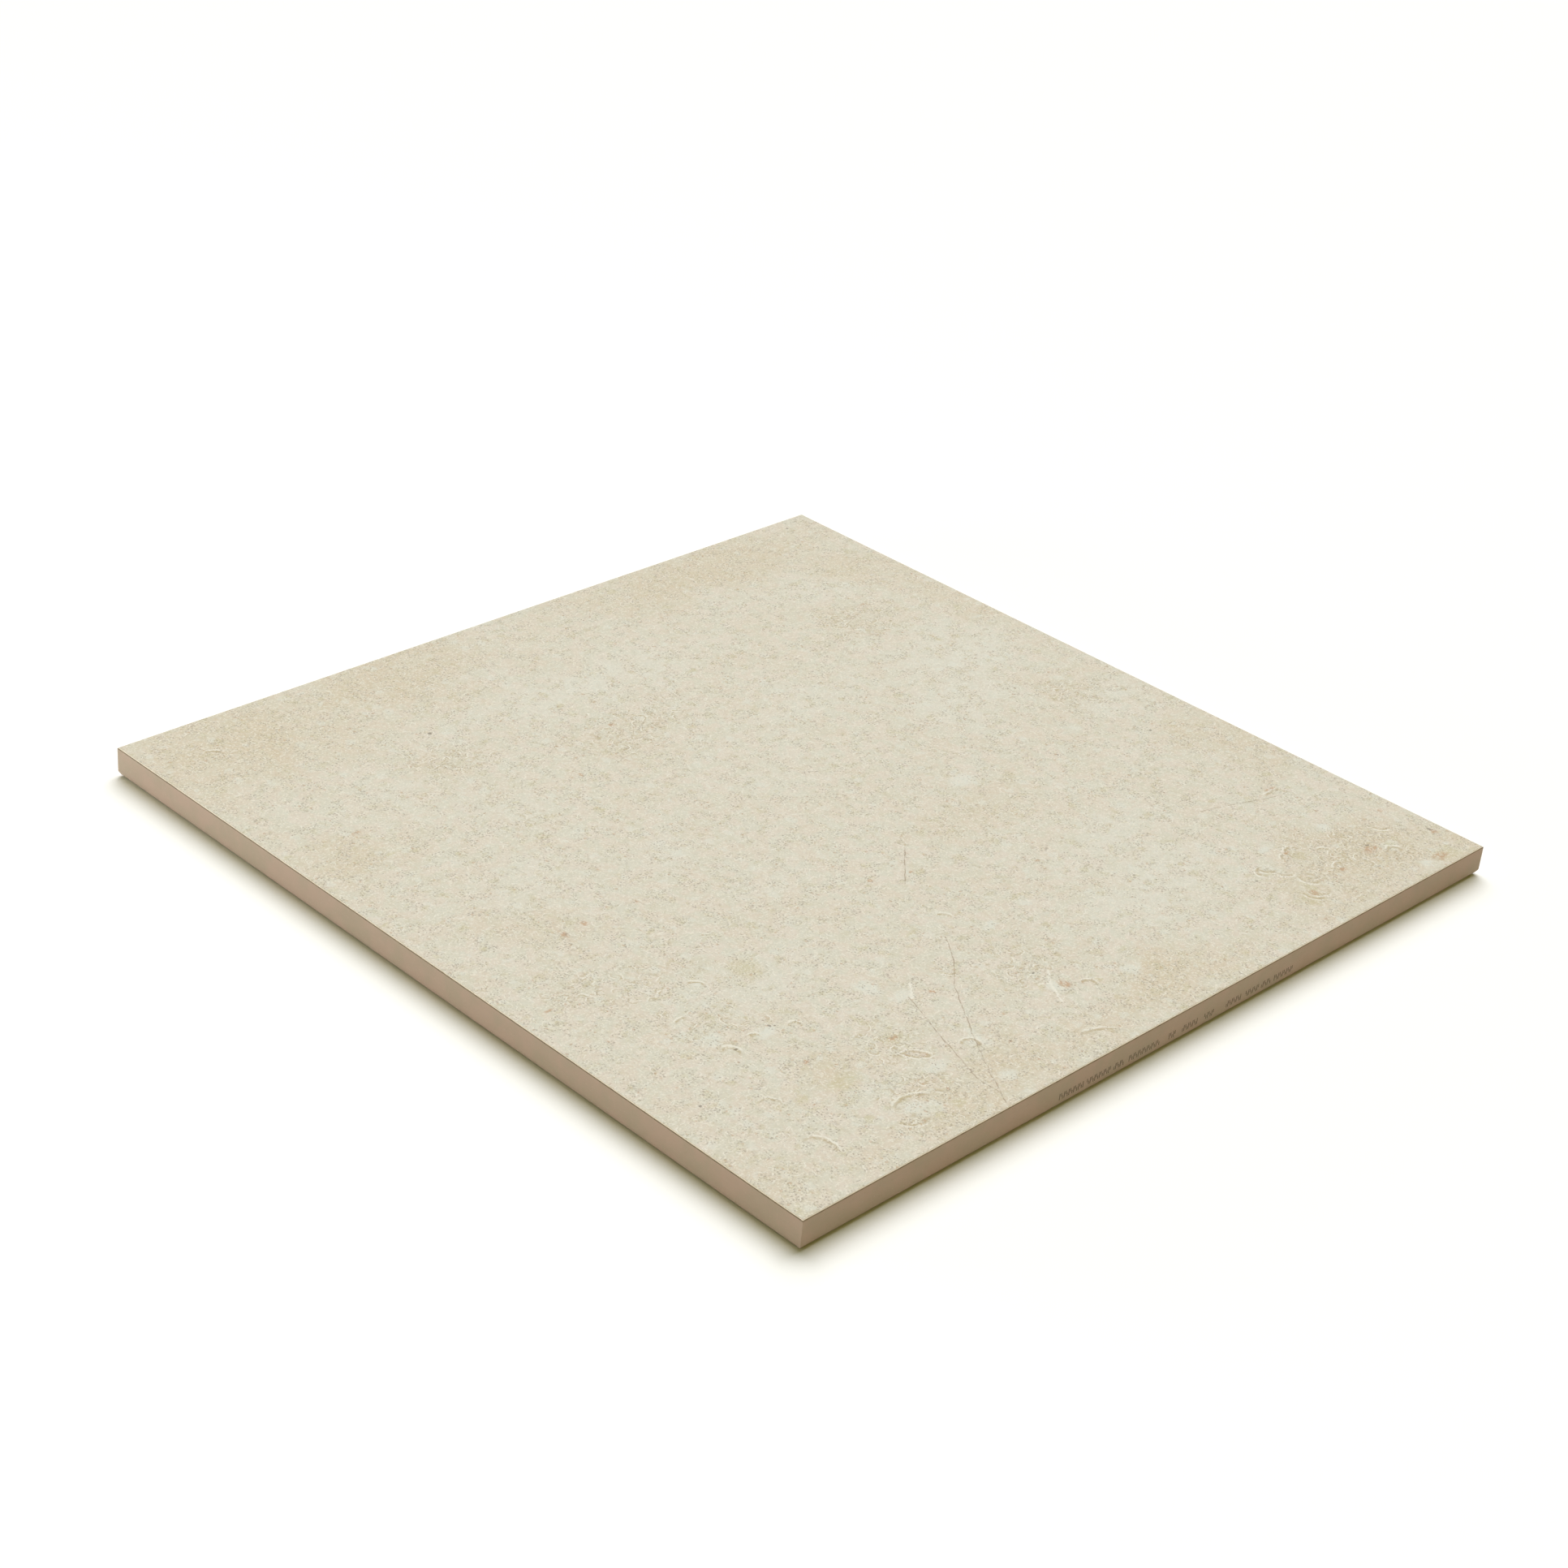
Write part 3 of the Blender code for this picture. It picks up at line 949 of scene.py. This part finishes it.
def four_turns(x, y, height, corner, flat_end):
    """A closed loop round (x, y): one corner's points and a straight run, repeated at every quarter turn."""
    quarter = list(corner)
    px, py = flat_end
    quarter += [(px - 2 * px * step / FLAT_STEPS, py) for step in range(1, FLAT_STEPS)]
    turns = ((1, 0), (0, 1), (-1, 0), (0, -1))
    return [(x + c * px - s * py, y + s * px + c * py, height) for c, s in turns for px, py in quarter]


def pocket_ring(x, y, half, radius, height):
    flat = half - radius
    angles = [math.pi / 2 * step / CORNER_STEPS for step in range(CORNER_STEPS + 1)]
    corner = [(flat + radius * math.cos(a), flat + radius * math.sin(a)) for a in angles]
    return four_turns(x, y, height, corner, (flat, half))


def cell_ring(x, y, height):
    shares = [2 * step / CORNER_STEPS - 1 for step in range(CORNER_STEPS + 1)]
    corner = [(CELL_HALF - CELL_CORNER * max(0.0, t), CELL_HALF - CELL_CORNER * max(0.0, -t)) for t in shares]
    return four_turns(x, y, height, corner, (CELL_HALF - CELL_CORNER, CELL_HALF))


half_corner = CORNER_STEPS // 2
corner_in = [CELL_CORNER * step / half_corner for step in range(half_corner + 1)]
run_on = [CELL_CORNER + (POCKET_PITCH - 2 * CELL_CORNER) * step / FLAT_STEPS for step in range(1, FLAT_STEPS)]
steps_in = corner_in + run_on + [POCKET_PITCH - step for step in reversed(corner_in[1:])]
BLOCK_SHARES = [(i * POCKET_PITCH + step) / (2 * BLOCK_HALF) for i in range(POCKETS) for step in steps_in]
BODY_SHARES = [i / len(BLOCK_SHARES) for i in range(len(BLOCK_SHARES))]
print("points on one side of the block:", len(BLOCK_SHARES))


def crest_sheet(bm, outline, mouths, height):
    """The level sheet between an outline and the mouths of all the pockets."""
    made = []
    for (x, y), mouth in zip(pocket_centres, mouths):
        cell = [bm.verts.new(p) for p in cell_ring(x, y, height)]
        join_loops(bm, mouth, cell)
        made += cell
    block = [bm.verts.new(p) for p in square_loop(BLOCK_HALF, height, BLOCK_SHARES)]
    join_loops(bm, block, outline)
    bmesh.ops.remove_doubles(bm, verts=made + block, dist=0.001 * MM)


# %% [markdown]
# The sides are a stack of square outlines, from the foot of the bevel up to the slip. Each step of the
# foot's profile is a distance inwards and a height, in millimetres. The pockets are sunk from below, and
# the crest sheet then closes the back between them.

# %% The stoneware_body piece
foot_profile = [(2.35, 0.30), (2.0, 0.36), (1.72, 0.62), (0.55, 2.30), (0.16, 2.95), (0.0, 3.7), (0.0, 7.5),
                (0.0, 11.5), (0.0, 15.5), (0.0, 18.6)]


def side_wave(x, y):
    """The ground side is never quite flat."""
    return 0.03 * MM * (0.5 + 0.5 * noise.noise(Vector((x, y, 0.3)) / 0.05))


rings = [square_loop(HALF - inset * MM, FLOOR + z * MM, BODY_SHARES, side_wave) for inset, z in foot_profile]
rings.append(square_loop(HALF, ENGOBE_SEAM, BODY_SHARES))
bm, rows = stack(rings, cap_low=False)
mouths = []
for x, y in pocket_centres:
    loops = []
    for inset, rise in POCKET_RINGS:
        ring = pocket_ring(x, y, POCKET_HALF - inset * MM, POCKET_ROUND - inset * MM, CREST + rise * MM)
        loops.append([bm.verts.new(p) for p in ring])
    for outer, inner in zip(loops, loops[1:]):
        join_loops(bm, outer, inner)
    bm.faces.new(loops[-1])
    mouths.append(loops[0])
crest_sheet(bm, rows[0], mouths, CREST)
body = finish_piece("stoneware_slab", to_mesh("body", bm), stoneware, "stoneware_body")

# %% [markdown]
# ## The kiln wash
#
# The wash is rolled on, so it covers only the crests, and its rim wanders a little. Its outline and its
# openings are drawn against the clay, near the resting plane and on it. Each level is pulled in a touch
# more, which rounds the coat.

# %% The kiln_wash piece
WASH_SOFT = 0.25 * MM
WASH_INSET = 2.5 * MM
MOUTH_GAP = 0.4 * MM
WASH_LEVELS = [(CREST, 0.0), (FLOOR + 0.05 * MM, 0.4 * WASH_SOFT), (FLOOR, WASH_SOFT)]


def wander(x, y):
    return 0.35 * MM * (1 + noise.noise(Vector((x, y, 0.9)) / (4 * MM)))


def wandering_mouth(x, y, half, height):
    points = []
    for px, py, z in pocket_ring(x, y, half, POCKET_ROUND, height):
        out = wander(px, py)
        points.append((px + (px - x) / half * out, py + (py - y) / half * out, z))
    return points


bm = bmesh.new()
levels = []
for height, pull in WASH_LEVELS:
    loops = [square_loop(HALF - WASH_INSET - pull, height, BODY_SHARES, wander)]
    loops += [wandering_mouth(x, y, POCKET_HALF + MOUTH_GAP + pull, height) for x, y in pocket_centres]
    levels.append([[bm.verts.new(p) for p in loop] for loop in loops])
for upper, lower in zip(levels, levels[1:]):
    for first, second in zip(upper, lower):
        join_loops(bm, first, second)
for (height, _), (outline, *mouths) in ((WASH_LEVELS[0], levels[0]), (WASH_LEVELS[-1], levels[-1])):
    crest_sheet(bm, outline, mouths, height)
wash = finish_piece("kiln_wash_coat", to_mesh("wash", bm), wash_paint, "kiln_wash")

# %% [markdown]
# ## The ink marks
#
# Factories print a line of dots along one side to tell batches apart. Here it is a plain row of tally bars
# in eleven groups, which says nothing. A bar is full, upper, lower or short, by a fixed turn-taking rule.
# Each dot is a very low dome, a few hundredths of a millimetre proud of the clay.

# %% The edge_ink_dots piece
MARK_GROUPS = [(-102, -82), (-79, -59), (-56, -47), (-43, -17), (-8, -2), (4, 17), (24, 33), (44, 57),
               (62, 74), (77, 86), (89, 107)]
MARK_LOW = 5.6
DOT_PITCH = 0.58
DOTS_TALL = 7
BAR_PITCH = 1.3
DOT_RADIUS = 0.33 * MM
DOT_PROUD = 0.03 * MM
DOT_ROOT = 0.04 * MM
DOT_SIDES = 8
BARS = [range(0, DOTS_TALL), range(3, DOTS_TALL), range(0, 4), range(2, 5)]


def ink_dot(bm, x, z):
    base_y = -HALF + DOT_ROOT
    turns = [2 * math.pi * i / DOT_SIDES for i in range(DOT_SIDES)]
    rim = [(x + DOT_RADIUS * math.cos(a), z + DOT_RADIUS * math.sin(a)) for a in turns]
    back, lip = ([bm.verts.new((px, y, pz)) for px, pz in rim] for y in (base_y, -HALF))
    peak = bm.verts.new((x, -HALF - DOT_PROUD, z))
    bm.faces.new(back)
    join_loops(bm, back, lip)
    for i in range(DOT_SIDES):
        bm.faces.new((lip[i], lip[(i + 1) % DOT_SIDES], peak))


bm = bmesh.new()
bars = 0
for start, end in MARK_GROUPS:
    for k in range(int((end - start) / BAR_PITCH) + 1):
        for row in BARS[(bars * 5 + bars // 3) % len(BARS)]:
            ink_dot(bm, (start + k * BAR_PITCH) * MM, (MARK_LOW + row * DOT_PITCH) * MM)
        bars += 1
marks = finish_piece("edge_ink_dots", to_mesh("ink", bm), ink)
print("bars:", bars)

# %% [markdown]
# ## The studio
#
# The floor is a plain white sheet, wide enough to fill the view. The lamps light it past full white.

# %% Floor
sweep = bmesh.new()
FLOOR_HALF = 6.0
FLOOR_GAP = 0.05 * MM
FLOOR_WHITE = (0.86, 0.86, 0.85, 1.0)
bmesh.ops.create_grid(sweep, x_segments=12, y_segments=12, size=FLOOR_HALF)
floor_mesh = bpy.data.meshes.new("floor")
sweep.to_mesh(floor_mesh)
sweep.free()
floor = bpy.data.objects.new("floor", floor_mesh)
floor.location.z = FLOOR - FLOOR_GAP
bpy.context.scene.collection.objects.link(floor)
floor_paint, tree, shader, where = new_material("floor")
shader.inputs["Base Color"].default_value = FLOOR_WHITE
shader.inputs["Roughness"].default_value = 0.9
shader.inputs["Specular IOR Level"].default_value = 0.1
floor_mesh.materials.append(floor_paint)

# %% [markdown]
# One very large soft lamp stands high behind the paver, so the narrow shadow falls towards the camera on
# both near sides. A far weaker, warm one in front fills that shadow. A cool card on the left lights the
# left side, most at its far end. The room glows faintly warm, but the Light Path node shows it to the
# camera as nearly white.

# %% Lamps and room
def hang_lamp(data, place_at, aim_at):
    lamp = bpy.data.objects.new(data.name, data)
    bpy.context.scene.collection.objects.link(lamp)
    turn = (Vector(aim_at) - Vector(place_at)).to_track_quat("-Z", "Y").to_matrix().to_4x4()
    lamp.matrix_world = Matrix.Translation(place_at) @ turn


def far_lamp(name, compass, height, spread, energy, colour):
    """A lamp so far away that it lights every place alike. Its angles are in degrees."""
    data = bpy.data.lights.new(name, "SUN")
    data.angle = math.radians(spread)
    data.energy = energy
    data.color = colour
    compass, height = math.radians(compass), math.radians(height)
    level = math.cos(height)
    hang_lamp(data, (level * math.cos(compass), level * math.sin(compass), math.sin(height)), (0, 0, 0))


far_lamp("overhead_softbox", compass=41, height=58, spread=58, energy=4.13, colour=(0.95, 0.953, 1.0))
far_lamp("warm_front_fill", compass=225, height=40, spread=90, energy=0.38, colour=(1.0, 0.90, 0.12))

CARD_LENGTH, CARD_WIDTH = 0.8, 0.2
CARD_PLACE, CARD_AIM = (-1.15, 1.0, 0.12), (-0.3, 0.15, 0.01)
card = bpy.data.lights.new("left_card", "AREA")
card.shape = "RECTANGLE"
card.size, card.size_y = CARD_LENGTH, CARD_WIDTH
card.energy = 8.5
card.color = (0.80, 0.90, 1.0)
hang_lamp(card, CARD_PLACE, CARD_AIM)

world = bpy.data.worlds.new("studio_room")
world.use_nodes = True
bpy.context.scene.world = world
room = world.node_tree
ROOM_GLOW = ((1.0, 0.95, 0.35, 1.0), 0.10)
ROOM_SEEN = ((1.0, 1.0, 1.0, 1.0), 0.9)
backgrounds = []
for colour, strength in (ROOM_GLOW, ROOM_SEEN):
    lit = add(room, "ShaderNodeBackground", [("Color", colour), ("Strength", strength)])
    backgrounds.append(lit.outputs[0])
seen = add(room, "ShaderNodeLightPath").outputs["Is Camera Ray"]
either = add(room, "ShaderNodeMixShader", [(0, seen), (1, backgrounds[0]), (2, backgrounds[1])])
room.links.new(either.outputs[0], room.nodes["World Output"].inputs["Surface"])
bpy.context.scene.view_settings.view_transform = "Standard"
